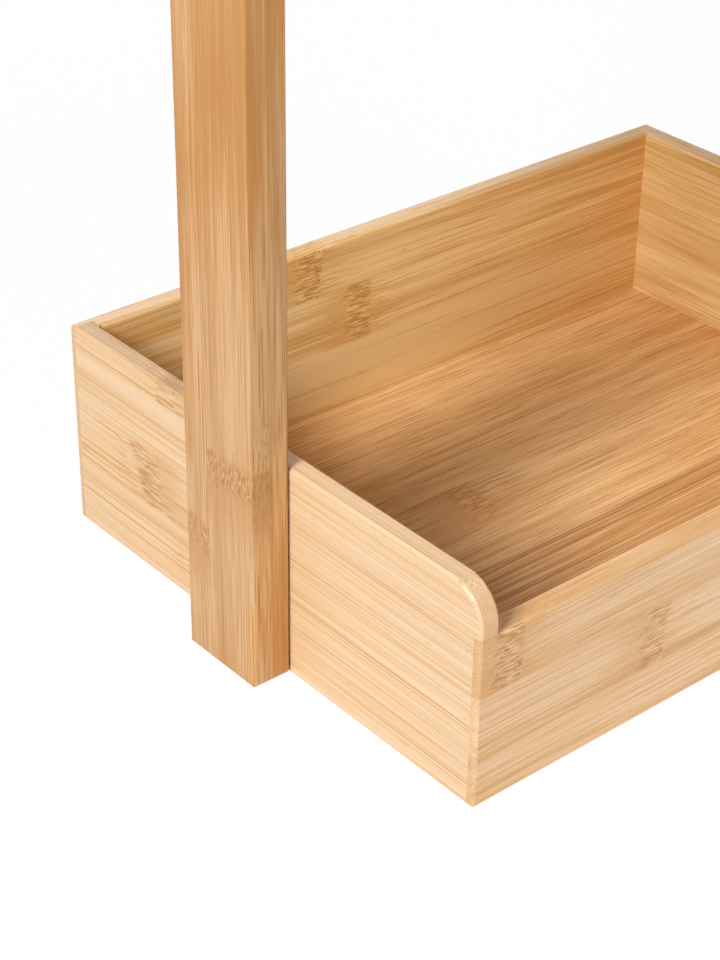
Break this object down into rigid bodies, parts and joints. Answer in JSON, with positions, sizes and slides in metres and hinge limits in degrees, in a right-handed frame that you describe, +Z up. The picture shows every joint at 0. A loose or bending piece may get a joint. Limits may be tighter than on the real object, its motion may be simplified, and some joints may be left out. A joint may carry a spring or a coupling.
{
  "type": "bathroom shelf unit",
  "caption": "Free-standing bamboo shelf unit: open trays with a low front and round corners, one above the other, carried between two flat posts.",
  "frame": {"origin": "on the floor, under the middle of the unit", "axes": "+Z up along the posts, -Y towards the low fronts of the trays, +X to the right as seen from the front"},
  "size_m": [0.33, 0.22, 0.76],
  "materials": {
    "bamboo_wall": "laminated bamboo, sanded, clear satin lacquer",
    "bamboo_base": "laminated bamboo board, clear satin lacquer",
    "bamboo_post": "laminated bamboo, sanded, clear satin lacquer",
    "pin_steel": "plain steel brads, set below the surface",
    "bolt_steel": "zinc-plated steel",
    "insert_zinc": "die-cast zinc alloy"
  },
  "bodies": {
    "root": {"lower_tray_front": "bamboo_wall", "lower_tray_back": "bamboo_wall", "lower_tray_left_end": "bamboo_wall", "lower_tray_right_end": "bamboo_wall", "lower_tray_base": "bamboo_base", "lower_tray_pins": "pin_steel", "lower_tray_bolts": "bolt_steel", "middle_tray_front": "bamboo_wall", "middle_tray_back": "bamboo_wall", "middle_tray_left_end": "bamboo_wall", "middle_tray_right_end": "bamboo_wall", "middle_tray_base": "bamboo_base", "middle_tray_pins": "pin_steel", "middle_tray_bolts": "bolt_steel", "upper_tray_front": "bamboo_wall", "upper_tray_back": "bamboo_wall", "upper_tray_left_end": "bamboo_wall", "upper_tray_right_end": "bamboo_wall", "upper_tray_base": "bamboo_base", "upper_tray_pins": "pin_steel", "upper_tray_bolts": "bolt_steel", "left_post": "bamboo_post", "left_post_inserts": "insert_zinc", "right_post": "bamboo_post", "right_post_inserts": "insert_zinc"}
  },
  "joints": []
}
